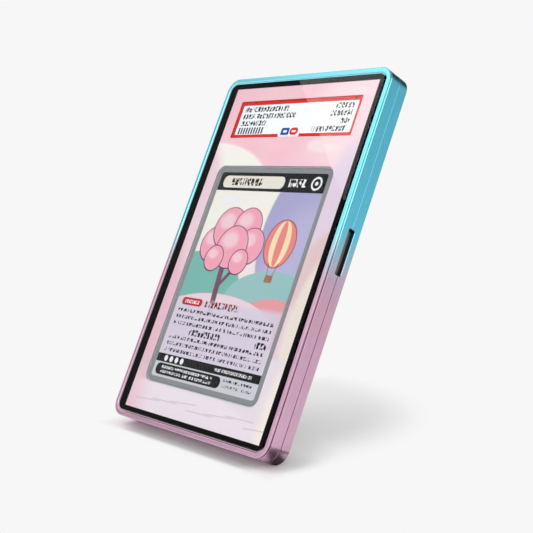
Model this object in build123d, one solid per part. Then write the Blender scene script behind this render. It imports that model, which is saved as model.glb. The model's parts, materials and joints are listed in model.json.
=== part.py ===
from build123d import *
import os
from math import cos, radians, sin

# Sizes are in millimetres and angles in degrees. The case is modelled lying on its back: X runs
# across it, Y runs up it, and Z runs from its back face to its front face. At the end everything
# is tipped up together, so that the case leans back on its open stand.

# Card, label and the sealed clear holder round them
card_width = 63.0
card_height = 88.0
card_corner = 3.18
card_thickness = 0.32
label_width = 67.2
label_height = 17.0
label_corner = 0.6
label_thickness = 0.2
below_card = 12.45
between_card_and_label = 12.1
above_label = 5.95
beside_card = 9.0
card_offset = -0.85
slab_depth = 4.4
slab_corner = 3.2
slab_edge_chamfer = 0.4
slab_front_wall = 0.5
slab_back_wall = 1.4
gasket_width = 2.2
well_gap = 0.1
well_top_gap = 0.05
label_well_gap = 0.3

# Walls and gaps from the holder outwards to the side of the case
slab_gap = 0.25
liner_wall = 1.9
liner_gap = 0.05
frame_wall = 1.4
case_corner = 5.5

# Layers from the back face to the front face
back_recess = 0.15
floor_thickness = 1.45
foam_thickness = 2.1
tape_thickness = 0.1
print_thickness = 0.1
film_gap = 0.05
pane_thickness = 1.75
pane_recess = 0.1

# Front frame
rim_width = 1.7
pane_gap = 0.25
pane_edge_chamfer = 0.55
rim_inner_chamfer = 0.15
ledge_thickness = 0.6
edge_round = 0.4
rear_edge_chamfer = 0.3
seam_height = 4.45
seam_chamfer = 0.2
groove_width = 0.4
groove_depth = 0.6
groove_from_front = 0.7
groove_flank_chamfer = 0.3

# Printed films behind the pane
border_side = 3.575
border_end = 2.4
card_window_margin = 0.6
label_window_lap = 0.5
tape_inset = 0.1

# Rear frame and the lap between the two halves
flange_thickness = 0.85
flange_width = 2.7
flange_gap = 0.1
lap_gap = 0.15
lap_end_gap = 0.1
tray_corner_relief = 0.8
foam_inset = 0.4
foam_gap = 0.4

# Magnets in the lap, three pairs to each half of the height
magnet_length = 10.0
magnet_width = 1.2
magnet_height = 1.2
magnet_gap = 0.05
magnet_height_on_side = 42.0

# Prying slot across the seam on the right-hand side
slot_length = 16.7
slot_width = 3.0
slot_corner = 0.6
slot_centre = 3.55
slot_mouth_chamfer = 0.2
slot_tray_depth = 0.2

# Fold-out stand in the back
lean = 25.2
stand_spread = 8.0
hinge_height = 5.0
pin_from_back = 1.25
pin_radius = 0.6
pin_press_gap = 0.02
pin_running_gap = 0.05
pin_head_radius = 1.0
pin_head_length = 0.4
knuckle_radius = 1.1
leg_thickness = 1.8
leg_back_recess = 0.05
leg_top_width = 20.0
leg_foot_width = 9.5
leg_straight = 9.0
leg_corner = 1.2
leg_heel = 2.2
stop_gap = 0.1
grip_count = 4
grip_pitch = 1.6
grip_radius = 0.35
foot_length = 3.4
foot_tongue_width = 6.0
foot_tongue_length = 1.6
foot_tongue_thickness = 0.8
foot_gap = 0.05
washer_radius = 1.05
washer_thickness = 0.3
washer_gap = 0.05
recess_depth = 2.35
recess_gap = 0.6
recess_heel_gap = 0.9
recess_wall = 1.0
recess_cover = 0.85
scoop_width = 24.0
scoop_height = 9.0
scoop_corner = 4.0
scoop_depth = 1.5
bracket_thickness = 0.4
ear_thickness = 0.8
ear_nose_radius = 1.05
ear_root = 4.2
bracket_top_gap = 0.5
bracket_length = 8.0
bracket_corner = 1.0
screw_spacing = 12.0
screw_height = 2.0
screw_radius = 0.7
screw_head_radius = 1.2
screw_head_depth = 0.35
screw_length = 1.9
screw_hole_gap = 0.05
screw_end_gap = 0.15
boss_margin = 1.8
boss_cover = 0.3

# Heights above the back face
floor_back = back_recess
floor_top = floor_back + floor_thickness
slab_back = floor_top + foam_thickness
slab_front = slab_back + slab_depth
ledge_top = slab_front
ledge_back = ledge_top - ledge_thickness
print_back = ledge_top + tape_thickness
pane_back = print_back + print_thickness + film_gap
pane_front = pane_back + pane_thickness
case_depth = pane_front + pane_recess
flange_top = flange_thickness
tray_back = flange_top + tape_thickness
liner_back = ledge_back - magnet_height - magnet_gap
tray_top = liner_back - lap_end_gap

# Holder round its card and label
slab_width = card_width + 2 * beside_card
slab_height = below_card + card_height + between_card_and_label + label_height + above_label
card_centre = (card_offset, below_card + card_height / 2 - slab_height / 2)
label_centre = (0, slab_height / 2 - above_label - label_height / 2)

# Outlines, each as (width, height, corner radius)
slab_outline = (slab_width, slab_height, slab_corner)


def grow(outline, by):
    """An outline with its sides moved out by the given distance, or in where it is negative."""
    width, height, corner = outline
    return (width + 2 * by, height + 2 * by, corner + by)


pocket_outline = (slab_width + 2 * slab_gap, slab_height + 2 * slab_gap, slab_corner)
liner_outline = (*grow(pocket_outline, liner_wall)[:2], case_corner - frame_wall - liner_gap)
cavity_outline = grow(liner_outline, liner_gap)
case_outline = grow(cavity_outline, frame_wall)
opening_outline = grow(case_outline, -rim_width)
pane_outline = grow(opening_outline, -pane_gap)
tray_outline = (*grow(cavity_outline, -lap_gap)[:2], cavity_outline[2] + tray_corner_relief)
flange_outline = (*grow(cavity_outline, -flange_width)[:2], cavity_outline[2])
case_width, case_height, _ = case_outline
art_width = pane_outline[0] - 2 * border_side
art_height = pane_outline[1] - 2 * border_end


def plate(outline, low, high, centre=(0, 0)):
    """A rounded plate from one height above the back face to another."""
    return Pos(*centre, low) * extrude(RectangleRounded(*outline), high - low)


def ring(outer, inner, low, high):
    """A rounded plate with a rounded opening through it."""
    return plate(outer, low, high) - plate(inner, low, high)


def top_face(part):
    """The face nearest the front of the case."""
    return part.faces().sort_by(Axis.Z)[-1]


def bottom_face(part):
    """The face nearest the back of the case."""
    return part.faces().sort_by(Axis.Z)[0]


# Prying slot
slot_plane = Plane(
    origin=(case_width / 2, slot_centre, seam_height), x_dir=(0, 1, 0), z_dir=(1, 0, 0)
)


def slot_cutter():
    """The slot with its chamfered mouth, from the side of the case into the tray's wall."""
    depth = case_width / 2 - tray_outline[0] / 2 + slot_tray_depth
    outline = RectangleRounded(slot_length, slot_width, slot_corner)
    mouth = RectangleRounded(
        slot_length + 2 * slot_mouth_chamfer,
        slot_width + 2 * slot_mouth_chamfer,
        slot_corner + slot_mouth_chamfer,
    )
    throat = extrude(slot_plane * outline, -depth)
    flare = loft([slot_plane * mouth, slot_plane.offset(-slot_mouth_chamfer) * outline])
    return throat + flare


# Magnets, which lie end to end with the lap
def magnet_places():
    """The centres and turns of the magnets round the lap, seen from the front."""
    side = (pocket_outline[0] + tray_outline[0]) / 4
    end = (pocket_outline[1] + tray_outline[1]) / 4
    for x in (-side, side):
        for y in (-magnet_height_on_side, magnet_height_on_side):
            yield Location((x, y, 0), (0, 0, 90))
    for y in (-end, end):
        yield Location((0, y, 0))


def magnet_bars(low, gap=0.0):
    """One bar at each place, standing on the given height and made larger by the gap."""
    height = magnet_height + gap
    bar = Box(magnet_length + 2 * gap, magnet_width + 2 * gap, height)
    return [place * Pos(0, 0, low + height / 2) * bar for place in magnet_places()]


# Cover
def front_frame():
    """The milled front half: rounded rim, side groove, pane rebate, ledge and half of the slot."""
    body = plate(case_outline, seam_height, case_depth)
    body = fillet(top_face(body).edges(), edge_round)
    body = chamfer(bottom_face(body).edges(), seam_chamfer)
    body -= plate(opening_outline, ledge_top, case_depth)
    body = chamfer(top_face(body).inner_wires()[0].edges(), rim_inner_chamfer)
    body -= plate(pocket_outline, ledge_back, ledge_top)
    body -= plate(cavity_outline, seam_height, ledge_back)
    groove_low = case_depth - groove_from_front - groove_width / 2
    groove_high = groove_low + groove_width
    body -= ring(grow(case_outline, 1), grow(case_outline, -groove_depth), groove_low, groove_high)
    flank = body.faces().filter_by_position(Axis.Z, groove_low, groove_low)[0]
    body = chamfer(flank.outer_wire().edges(), groove_flank_chamfer)
    return body - slot_cutter()


def front_pane():
    """The clear pane, with a polished chamfer round its front."""
    pane = plate(pane_outline, pane_back, pane_front)
    return chamfer(top_face(pane).edges(), pane_edge_chamfer)


def border_print():
    """The black border film round the edge of the pane."""
    opening = Pos(0, 0, print_back) * extrude(Rectangle(art_width, art_height), print_thickness)
    return plate(pane_outline, print_back, print_back + print_thickness) - opening


def art_print():
    """The printed surround, with clear openings over the card and the label."""
    film = Rectangle(art_width, art_height)
    card_window = grow((card_width, card_height, card_corner), card_window_margin)
    label_window = grow((label_width, label_height, label_corner + label_window_lap), -label_window_lap)
    for window, centre in ((card_window, card_centre), (label_window, label_centre)):
        film -= Pos(*centre) * RectangleRounded(*window)
    return Pos(0, 0, print_back) * extrude(film, print_thickness)


def pane_tape():
    """The black adhesive ring between the films and the ledge, which reaches under the pane's gap."""
    outer = grow(opening_outline, -tape_inset)
    inner = grow(pocket_outline, tape_inset)
    return ring(outer, inner, ledge_top, print_back)


def front_liner():
    """The black ring behind the ledge, with a pocket for each magnet."""
    body = ring(liner_outline, pocket_outline, liner_back, ledge_back)
    return body - magnet_bars(liner_back, magnet_gap)


def cover_magnets():
    """The bar magnets of the cover, seated against the ledge."""
    return Compound(magnet_bars(ledge_back - magnet_height))


# Case
def rear_frame():
    """The milled rear half: chamfered back edge, back flange and half of the slot."""
    body = plate(case_outline, 0, seam_height)
    body = chamfer(bottom_face(body).edges(), rear_edge_chamfer)
    body = chamfer(top_face(body).edges(), seam_chamfer)
    body -= plate(cavity_outline, flange_top, seam_height)
    body -= plate(flange_outline, 0, flange_top)
    return body - slot_cutter()


def leg_outline(margin=0.0, heel_margin=0.0, foot_margin=0.0):
    """The leg seen from behind, hinge at the origin and foot down, with its sides moved out."""
    top = leg_top_width / 2 + margin
    foot = leg_foot_width / 2 + margin
    heel = leg_heel + heel_margin
    end = -leg_length - foot_margin
    points = [(-top, heel), (top, heel), (top, -leg_straight), (foot, end), (-foot, end)]
    face = make_face(Polyline(*points, (-top, -leg_straight), close=True))
    return fillet(face.vertices(), leg_corner)


# The case stands on the lower of its back edge's two corners, and the open leg reaches as far down
case_lift = case_height / 2 * cos(radians(lean)) - rear_edge_chamfer * sin(radians(lean))
pin_lift = case_lift + hinge_height * cos(radians(lean)) + pin_from_back * sin(radians(lean))
leg_length = pin_lift / cos(radians(stand_spread))
open_angle = lean + stand_spread
recess_top = floor_back + recess_depth
ear_inner = leg_top_width / 2 + washer_gap + washer_thickness + washer_gap
ear_outer = ear_inner + ear_thickness
pin_end = ear_outer + pin_head_length
screw_line = hinge_height - bracket_length + screw_height
screw_places = [Pos(side * screw_spacing / 2, screw_line) for side in (-1, 1)]


def recess_outline(margin=0.0):
    """The recess for the folded leg and the wider stretch for its bracket."""
    sides = recess_gap + margin
    leg = Pos(0, hinge_height) * leg_outline(sides, recess_heel_gap + margin, sides)
    high = hinge_height + leg_heel + recess_heel_gap + margin
    low = hinge_height - bracket_length - bracket_top_gap - recess_gap - margin
    width = 2 * (pin_end + recess_gap + margin)
    hinge = Pos(0, (high + low) / 2) * RectangleRounded(width, high - low, leg_corner)
    return leg + hinge


def scoop_outline(margin=0.0):
    """The hollow at both sides of the foot, where a finger and thumb reach the folded leg."""
    centre = hinge_height - leg_length + scoop_height / 2
    return Pos(0, centre) * RectangleRounded(
        scoop_width + 2 * margin, scoop_height + 2 * margin, scoop_corner + margin
    )


def back_hollows():
    """The recess and the scoop with walls round them, as they rise from the floor of the tray."""
    for outline, depth in ((recess_outline, recess_depth), (scoop_outline, scoop_depth)):
        height = floor_back + depth + recess_cover - floor_top
        yield Pos(0, 0, floor_top) * extrude(outline(recess_wall), height)


def rear_tray():
    """The moulded tray: floor, walls that lap into the cover, and the recess for the stand."""
    body = plate(tray_outline, tray_back, tray_top)
    body += plate(grow(flange_outline, -flange_gap), floor_back, tray_back)
    body -= plate(pocket_outline, floor_top, tray_top)
    for wall in back_hollows():
        body += wall
    boss = Rectangle(screw_spacing + 2 * boss_margin, 2 * boss_margin)
    body += Pos(0, screw_line, recess_top) * extrude(boss, screw_length + boss_cover)
    body -= Pos(0, 0, floor_back) * extrude(recess_outline(), recess_depth)
    body -= Pos(0, 0, floor_back) * extrude(scoop_outline(), scoop_depth)
    for place in screw_places:
        hole = Circle(screw_radius + screw_hole_gap)
        body -= place * Pos(0, 0, recess_top) * extrude(hole, screw_length - screw_head_depth)
    body -= magnet_bars(tray_top - magnet_height - magnet_gap, magnet_gap)
    return body - slot_cutter()


def tray_tape():
    """The adhesive ring between the back flange and the tray."""
    outer = grow(tray_outline, -tape_inset)
    inner = grow(flange_outline, tape_inset)
    return ring(outer, inner, flange_top, tray_back)


def foam_pad():
    """The soft pad behind the holder, cut away over the stand's recess down to its lower edge."""
    width, height, corner = grow(pocket_outline, -foam_inset)
    sheet = Rectangle(width, height)
    pad = Pos(0, 0, floor_top) * extrude(chamfer(sheet.vertices(), corner), foam_thickness)
    around = recess_wall + foam_gap
    below = Pos(0, -pocket_outline[1] / 2) * Rectangle(scoop_width + 2 * around, 2 * scoop_height)
    cut = recess_outline(around) + scoop_outline(around) + below
    return pad - Pos(0, 0, floor_top) * extrude(cut, foam_thickness)


def case_magnets():
    """The bar magnets in the top of the tray's wall."""
    return Compound(magnet_bars(tray_top - magnet_height - magnet_gap))


def stand_bracket():
    """The folded bracket: a base screwed into the recess and an ear at each side of the leg."""
    high = hinge_height - knuckle_radius - bracket_top_gap
    low = hinge_height - bracket_length
    base = Pos(0, (high + low) / 2) * RectangleRounded(2 * ear_outer, high - low, bracket_corner)
    body = Pos(0, 0, recess_top - bracket_thickness) * extrude(base, bracket_thickness)
    nose = Pos(hinge_height, pin_from_back) * Circle(ear_nose_radius)
    arm_low = hinge_height - ear_root
    arm = Pos((arm_low + hinge_height) / 2, (pin_from_back + recess_top) / 2) * Rectangle(
        hinge_height - arm_low, recess_top - pin_from_back
    )
    lower = Pos((arm_low + hinge_height) / 2, pin_from_back - ear_nose_radius / 2) * Rectangle(
        hinge_height - arm_low, ear_nose_radius
    )
    ear_shape = nose + arm + lower
    for inner in (ear_inner, -ear_outer):
        ear_plane = Plane(origin=(inner, 0, 0), x_dir=(0, 1, 0), z_dir=(1, 0, 0))
        body += extrude(ear_plane * ear_shape, ear_thickness)
    pin_hole = Cylinder(pin_radius + pin_press_gap, 2 * pin_end, rotation=(0, 90, 0))
    body -= Pos(0, hinge_height, pin_from_back) * pin_hole
    for place in screw_places:
        at_base = place * Pos(0, 0, recess_top - bracket_thickness)
        cone = Pos(0, 0, bracket_thickness / 2) * Cone(
            screw_head_radius + screw_hole_gap, screw_radius + screw_hole_gap, bracket_thickness
        )
        body -= at_base * cone
    return body


def bracket_screws():
    """The countersunk screws of the bracket."""
    screws = []
    for place in screw_places:
        cone = Pos(0, 0, screw_head_depth / 2) * Cone(
            screw_head_radius - screw_hole_gap, screw_radius, screw_head_depth
        )
        shank_length = screw_length - screw_end_gap
        screw = cone + extrude(Circle(screw_radius), shank_length)
        screws.append(place * Pos(0, 0, recess_top - bracket_thickness) * screw)
    return Compound(screws)


def hinge_pin():
    """The hinge pin, with a turned head at one end and a riveted one at the other."""
    pin = Cylinder(pin_radius, 2 * ear_outer)
    head = Cylinder(pin_head_radius, pin_head_length)
    for side in (-1, 1):
        pin += Pos(0, 0, side * (ear_outer + pin_head_length / 2)) * head
    return Pos(0, hinge_height, pin_from_back) * Rot(0, 90, 0) * pin


# Holder with the card and the label
window_inner = slab_front - slab_front_wall
slab_weld = slab_back + slab_depth / 2
card_well = (
    card_width + 2 * gasket_width,
    card_height + 2 * gasket_width,
    card_corner + gasket_width,
)
label_well = (
    label_width + 2 * label_well_gap,
    label_height + 2 * label_well_gap,
    label_corner + label_well_gap,
)
card_seat = window_inner - card_thickness - well_top_gap
label_seat = window_inner - label_thickness - well_top_gap
wells = [(card_well, card_centre, card_seat), (label_well, label_centre, label_seat)]


def slab_front_shell():
    """The front shell: outer rim, thin windows and the wells for the card and the label."""
    body = plate(slab_outline, slab_weld, slab_front)
    body = chamfer(top_face(body).edges(), slab_edge_chamfer)
    for well, centre, _ in wells:
        body -= plate(well, slab_weld, window_inner, centre)
    return body


def slab_rear_shell():
    """The rear shell: a seat that rises into each well and a hollow behind it."""
    body = plate(slab_outline, slab_back, slab_weld)
    body = chamfer(bottom_face(body).edges(), slab_edge_chamfer)
    for well, centre, seat in wells:
        body += plate(grow(well, -well_gap), slab_weld, seat, centre)
        hollow = grow(well, -well_gap - slab_back_wall)
        hollow = (hollow[0], hollow[1], max(hollow[2], label_corner))
        body -= plate(hollow, slab_back, seat - slab_back_wall, centre)
    return body


def card_gasket():
    """The frosted ring round the card, which centres it in its well."""
    opening = (card_width + 2 * well_gap, card_height + 2 * well_gap, card_corner + well_gap)
    outer = plate(grow(card_well, -well_gap), card_seat, window_inner - well_top_gap, card_centre)
    return outer - plate(opening, card_seat, window_inner, card_centre)


def card():
    """The trading card."""
    outline = (card_width, card_height, card_corner)
    return plate(outline, card_seat, card_seat + card_thickness, card_centre)


def label():
    """The label above the card."""
    outline = (label_width, label_height, label_corner)
    return plate(outline, label_seat, label_seat + label_thickness, label_centre)


# Stand, modelled round its pin: folded, it points down with its back at the lower side
leg_low = floor_back + leg_back_recess - pin_from_back
leg_high = leg_low + leg_thickness
foot_start = -leg_length + foot_length


def ground():
    """The space under the surface that the foot stands on, in the leg's own frame."""
    block = Box(2 * leg_top_width, 2 * foot_length, 2 * leg_top_width)
    return Pos(0, -leg_length, 0) * Rot(-stand_spread, 0, 0) * Pos(0, -foot_length, 0) * block


def leg_blank():
    """The full flat of the leg with its foot, a little long for its end to be cut to the ground."""
    return Pos(0, 0, leg_low) * extrude(leg_outline(foot_margin=leg_thickness), leg_thickness)


def foot_zone():
    """The stretch of the leg that the rubber foot takes."""
    width = 2 * leg_top_width
    return Pos(0, foot_start - foot_length, 0) * Box(width, 2 * foot_length, width)


def foot_tongue(gap=0.0):
    """The tongue that carries the rubber foot."""
    height = foot_tongue_thickness + 2 * gap
    tongue = Box(foot_tongue_width + 2 * gap, 2 * (foot_tongue_length + gap), height)
    return Pos(0, foot_start, (leg_low + leg_high) / 2) * tongue


def stand_leg():
    """The leg: knuckle, heel that meets its stop, tapered blade with grip grooves, and tongue."""
    leg = leg_blank() - foot_zone() + foot_tongue()
    leg += Cylinder(knuckle_radius, leg_top_width, rotation=(0, 90, 0))
    stop = recess_top - pin_from_back - stop_gap
    beyond = Pos(0, 0, stop + leg_top_width / 2) * Box(2 * leg_top_width, leg_top_width, leg_top_width)
    leg -= Rot(-open_angle, 0, 0) * beyond
    leg -= Cylinder(pin_radius + pin_running_gap, 2 * leg_top_width, rotation=(0, 90, 0))
    for index in range(grip_count):
        y = foot_start + (index + 1.5) * grip_pitch
        leg -= Pos(0, y, leg_low) * Cylinder(grip_radius, leg_top_width, rotation=(0, 90, 0))
    return leg


def foot_pad():
    """The rubber foot, moulded over the tongue and flat where it stands."""
    return (leg_blank() & foot_zone()) - ground() - foot_tongue(foot_gap)


def friction_washers():
    """The washers that hold the leg where it is put, one at each end of its knuckle."""
    disc = Cylinder(washer_radius, washer_thickness)
    disc -= Cylinder(pin_radius + pin_running_gap, washer_thickness)
    offset = leg_top_width / 2 + washer_gap + washer_thickness / 2
    return Compound([Pos(side * offset, 0, 0) * Rot(0, 90, 0) * disc for side in (-1, 1)])


# Standing position: the open leg turns about its pin, and the whole case tips up on its back edge
back_reach = (case_height / 2 - rear_edge_chamfer) * sin(radians(lean))
front_reach = (case_height / 2 - edge_round) * sin(radians(lean)) + (
    case_depth - edge_round
) * cos(radians(lean)) + edge_round
stand_up = Pos(0, (front_reach - back_reach) / 2, case_lift) * Rot(90 - lean, 0, 0)
swing_open = Pos(0, hinge_height, pin_from_back) * Rot(open_angle, 0, 0)

case_parts = {
    "front_frame": front_frame,
    "front_pane": front_pane,
    "border_print": border_print,
    "art_print": art_print,
    "pane_tape": pane_tape,
    "front_liner": front_liner,
    "cover_magnets": cover_magnets,
    "rear_frame": rear_frame,
    "rear_tray": rear_tray,
    "tray_tape": tray_tape,
    "foam_pad": foam_pad,
    "case_magnets": case_magnets,
    "stand_bracket": stand_bracket,
    "bracket_screws": bracket_screws,
    "hinge_pin": hinge_pin,
    "slab_front_shell": slab_front_shell,
    "slab_rear_shell": slab_rear_shell,
    "card_gasket": card_gasket,
    "card": card,
    "label": label,
}
stand_parts = {
    "stand_leg": stand_leg,
    "foot_pad": foot_pad,
    "friction_washers": friction_washers,
}

os.makedirs("parts", exist_ok=True)
for name, make in case_parts.items():
    export_step(stand_up * make(), f"parts/{name}.step")
for name, make in stand_parts.items():
    export_step(stand_up * swing_open * make(), f"parts/{name}.step")
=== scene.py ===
import json
import logging
import math
from abc import ABC, abstractmethod
from dataclasses import dataclass, field
from enum import Enum
from functools import cached_property, partial
from typing import Iterable, Optional, Sequence, Union

import bmesh
import bpy
from mathutils import Matrix, Vector


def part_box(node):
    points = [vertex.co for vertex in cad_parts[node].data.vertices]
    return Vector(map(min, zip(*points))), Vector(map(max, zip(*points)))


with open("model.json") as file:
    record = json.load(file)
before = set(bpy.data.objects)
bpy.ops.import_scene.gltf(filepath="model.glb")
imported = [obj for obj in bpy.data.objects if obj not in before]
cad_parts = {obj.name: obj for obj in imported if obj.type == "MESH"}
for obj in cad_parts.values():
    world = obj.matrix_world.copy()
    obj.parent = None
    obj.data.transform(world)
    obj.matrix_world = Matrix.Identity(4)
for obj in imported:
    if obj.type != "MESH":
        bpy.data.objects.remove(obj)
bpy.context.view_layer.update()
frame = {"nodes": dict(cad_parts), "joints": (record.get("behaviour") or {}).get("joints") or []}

log = logging.getLogger("display_case")

Socket = bpy.types.NodeSocket
Sockets = dict[str, Socket]
Number = Union[float, Socket]
Place = Union[Sequence[float], Socket]
Colour = tuple[float, float, float]
Span = tuple[float, float]

MM = 0.001
ORIGIN = (0.0, 0.0, 0.0)
FLAT = (1.0, 1.0, 0.0)
BLACK = (0.0, 0.0, 0.0)
WHITE = (1.0, 1.0, 1.0)
NOISE_SPAN = (0.3, 0.7)
FINE_DETAIL = 3.0


def srgb(red: int, green: int, blue: int) -> Colour:
    """A colour given as it looks on a screen, 0 to 255, made linear for a shader.

    Args:
        red: Red on the screen.
        green: Green on the screen.
        blue: Blue on the screen.

    Returns:
        The linear colour.
    """

    def linear(value: int) -> float:
        """One channel made linear."""
        part = value / 255
        return part / 12.92 if part <= 0.04045 else ((part + 0.055) / 1.055) ** 2.4

    return (linear(red), linear(green), linear(blue))


def grey(level: float) -> Colour:
    """A linear grey."""
    return (level, level, level)


BACKDROP = srgb(247, 247, 247)


@dataclass(frozen=True)
class CasePlane:
    """The plane of the case: across it, up it and out of its front, measured from its middle.

    Attributes:
        middle: The middle of the pane, in the row frame.
        turn: The angle about X that lays the flat case into this plane, in radians.
    """

    middle: Vector
    turn: float

    @classmethod
    def of_frame(cls) -> "CasePlane":
        """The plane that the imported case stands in.

        Returns:
            The plane, from the pane's box and the way that the cover lifts off.
        """
        low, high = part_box("front_pane")
        cover = next(joint for joint in frame["joints"] if joint["name"] == "cover_lift")
        _, back, up = cover["axis"]
        return cls((low + high) / 2, math.atan2(-back, up))


class Recipe:
    """A node tree that is being written, with short calls for the nodes that it needs."""

    def __init__(self, tree: bpy.types.NodeTree) -> None:
        """Starts on a node tree.

        Args:
            tree: The tree of a material, a world or a group.
        """
        self.tree = tree

    def feed(self, socket: Socket, value: Union[Number, Place]) -> None:
        """Links or sets one input.

        Args:
            socket: The input.
            value: Another node's output, or a plain value.
        """
        if isinstance(value, bpy.types.NodeSocket):
            self.tree.links.new(value, socket)
        elif socket.type == "RGBA":
            socket.default_value = (*value, 1.0)
        else:
            socket.default_value = value

    def fill(self, node: bpy.types.Node, inputs: dict) -> bpy.types.Node:
        """Feeds inputs of a node.

        Args:
            node: The node.
            inputs: Values or outputs for its inputs, by name or number.

        Returns:
            The node.
        """
        for name, value in inputs.items():
            self.feed(node.inputs[name], value)
        return node

    def add(self, kind: str, inputs: Optional[dict] = None, **settings: object) -> bpy.types.Node:
        """Adds a node.

        Args:
            kind: The node's class name without its ShaderNode prefix.
            inputs: Values or outputs for its inputs, by name or number.
            settings: Properties of the node itself.

        Returns:
            The node.
        """
        node = self.tree.nodes.new("ShaderNode" + kind)
        for name, value in settings.items():
            setattr(node, name, value)
        return self.fill(node, inputs or {})

    def math(self, operation: str, first: Number, second: Number = 0.0, clamp: bool = False) -> Socket:
        """A Math node's output.

        Args:
            operation: The node's operation.
            first: Its first value.
            second: Its second value.
            clamp: Whether it is held between 0 and 1.

        Returns:
            The value.
        """
        node = self.add("Math", {0: first, 1: second}, operation=operation, use_clamp=clamp)
        return node.outputs[0]

    def vector(self, operation: str, first: Place, second: Place = ORIGIN) -> Socket:
        """A Vector Math node's output.

        Args:
            operation: The node's operation.
            first: Its first vector.
            second: Its second vector.

        Returns:
            The vector, or the value of a length or a product.
        """
        node = self.add("VectorMath", {0: first, 1: second}, operation=operation)
        return node.outputs["Value" if operation in ("LENGTH", "DOT_PRODUCT") else "Vector"]

    def times(self, first: Number, *others: Number) -> Number:
        """Values multiplied together, which keeps what several masks share.

        Args:
            first: The first value.
            others: The other values.

        Returns:
            Their product.
        """
        for other in others:
            first = self.math("MULTIPLY", first, other)
        return first

    def most(self, first: Number, *others: Number) -> Number:
        """The greatest of several values.

        Args:
            first: The first value.
            others: The other values.

        Returns:
            The greatest.
        """
        for other in others:
            first = self.math("MAXIMUM", first, other)
        return first

    def off(self, value: Number, middle: Number) -> Socket:
        """How far a value lies from a middle, either way."""
        return self.math("ABSOLUTE", self.math("SUBTRACT", value, middle))

    def join(self, across: Number, along: Number, out: Number = 0.0) -> Socket:
        """A vector put together from its parts."""
        return self.add("CombineXYZ", {0: across, 1: along, 2: out}).outputs[0]

    def evenly(self, value: Number) -> Socket:
        """A vector with the same value three times."""
        return self.join(value, value, value)

    def rays(self, *kinds: str) -> Number:
        """1 for light paths of the named kinds, such as Camera or Shadow."""
        path = self.add("LightPath")
        return self.most(*(path.outputs[f"Is {kind} Ray"] for kind in kinds))

    def split(self, vector: Socket) -> tuple[Socket, Socket, Socket]:
        """The three parts of a vector."""
        node = self.add("SeparateXYZ", {0: vector})
        return node.outputs[0], node.outputs[1], node.outputs[2]

    def span(self, value: Number, start: Number, end: Number, low: float = 0.0, high: float = 1.0) -> Socket:
        """A smooth step between two values.

        Args:
            value: What is measured.
            start: Where the step starts.
            end: Where it ends.
            low: The result before the start.
            high: The result after the end.

        Returns:
            The stepped value.
        """
        node = self.add(
            "MapRange",
            {"Value": value, "From Min": start, "From Max": end, "To Min": low, "To Max": high},
            interpolation_type="SMOOTHSTEP",
        )
        return node.outputs["Result"]

    def band(self, value: Number, start: float, full: float, still: float, end: float) -> Number:
        """A mask that rises and falls again.

        Args:
            value: What is measured.
            start: Where the mask starts to rise.
            full: Where it is full.
            still: Where it is still full.
            end: Where it has faded out.

        Returns:
            The mask, 0 to 1.
        """
        return self.times(self.span(value, start, full), self.span(value, end, still))

    def share(self, value: Number, start: float, end: float) -> Socket:
        """How far a value has come from a start to an end, 0 to 1."""
        node = self.add("MapRange", {"Value": value, "From Min": start, "From Max": end})
        return node.outputs["Result"]

    def tint(self, colour: Place, by: Place) -> Socket:
        """A colour multiplied by another."""
        return self.mix(1.0, colour, by, "MULTIPLY")

    def mix(self, share: Number, first: Place, second: Place, blend: str = "MIX") -> Socket:
        """Two colours mixed.

        Args:
            share: How much of the second colour shows.
            first: The first colour.
            second: The second colour.
            blend: The way of blending.

        Returns:
            The mixed colour.
        """
        node = self.add("Mix", data_type="RGBA", blend_type=blend)
        self.feed(node.inputs[0], share)
        self.feed(node.inputs[6], first)
        self.feed(node.inputs[7], second)
        return node.outputs[2]

    def noise(self, place: Place, scale: float, detail: float = 2.0, roughness: float = 0.5) -> Socket:
        """A noise between about 0 and 1.

        Args:
            place: Where it is read.
            scale: Its scale.
            detail: Its number of finer layers.
            roughness: How strong those layers are.

        Returns:
            The noise.
        """
        inputs = {"Vector": place, "Scale": scale, "Detail": detail, "Roughness": roughness}
        return self.add("TexNoise", inputs).outputs[0]

    def ramp(self, value: Socket, stops: Sequence[tuple[float, Colour]]) -> Socket:
        """A run of colours.

        Args:
            value: Where along the run, 0 to 1.
            stops: The places and colours along it.

        Returns:
            The colour.
        """
        node = self.add("ValToRGB", {0: value})
        elements = node.color_ramp.elements
        while len(elements) < len(stops):
            elements.new(0.5)
        for element, (position, colour) in zip(elements, stops):
            element.position = position
            element.color = (*colour, 1.0)
        return node.outputs[0]

    def within(self, vector: Place, turn: Place, middle: Place = ORIGIN, scale: Place = WHITE) -> Socket:
        """A vector as it is in other directions.

        Args:
            vector: The vector.
            turn: The angles by which those directions are turned.
            middle: The place that they start from.
            scale: The length of their units.

        Returns:
            The vector in those directions.
        """
        inputs = {"Vector": vector, "Location": middle, "Rotation": turn, "Scale": scale}
        return self.add("Mapping", inputs, vector_type="TEXTURE").outputs["Vector"]

    def bump(self, height: Socket, strength: float, depth: float) -> Socket:
        """The normal of a surface with a height in millimetres of depth."""
        inputs = {"Height": height, "Strength": strength, "Distance": depth * MM}
        return self.add("Bump", inputs).outputs["Normal"]

    def blend(self, share: Number, first: Socket, second: Socket) -> Socket:
        """Two shaders mixed by the second one's share."""
        return self.add("MixShader", {0: share, 1: first, 2: second}).outputs[0]


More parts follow.
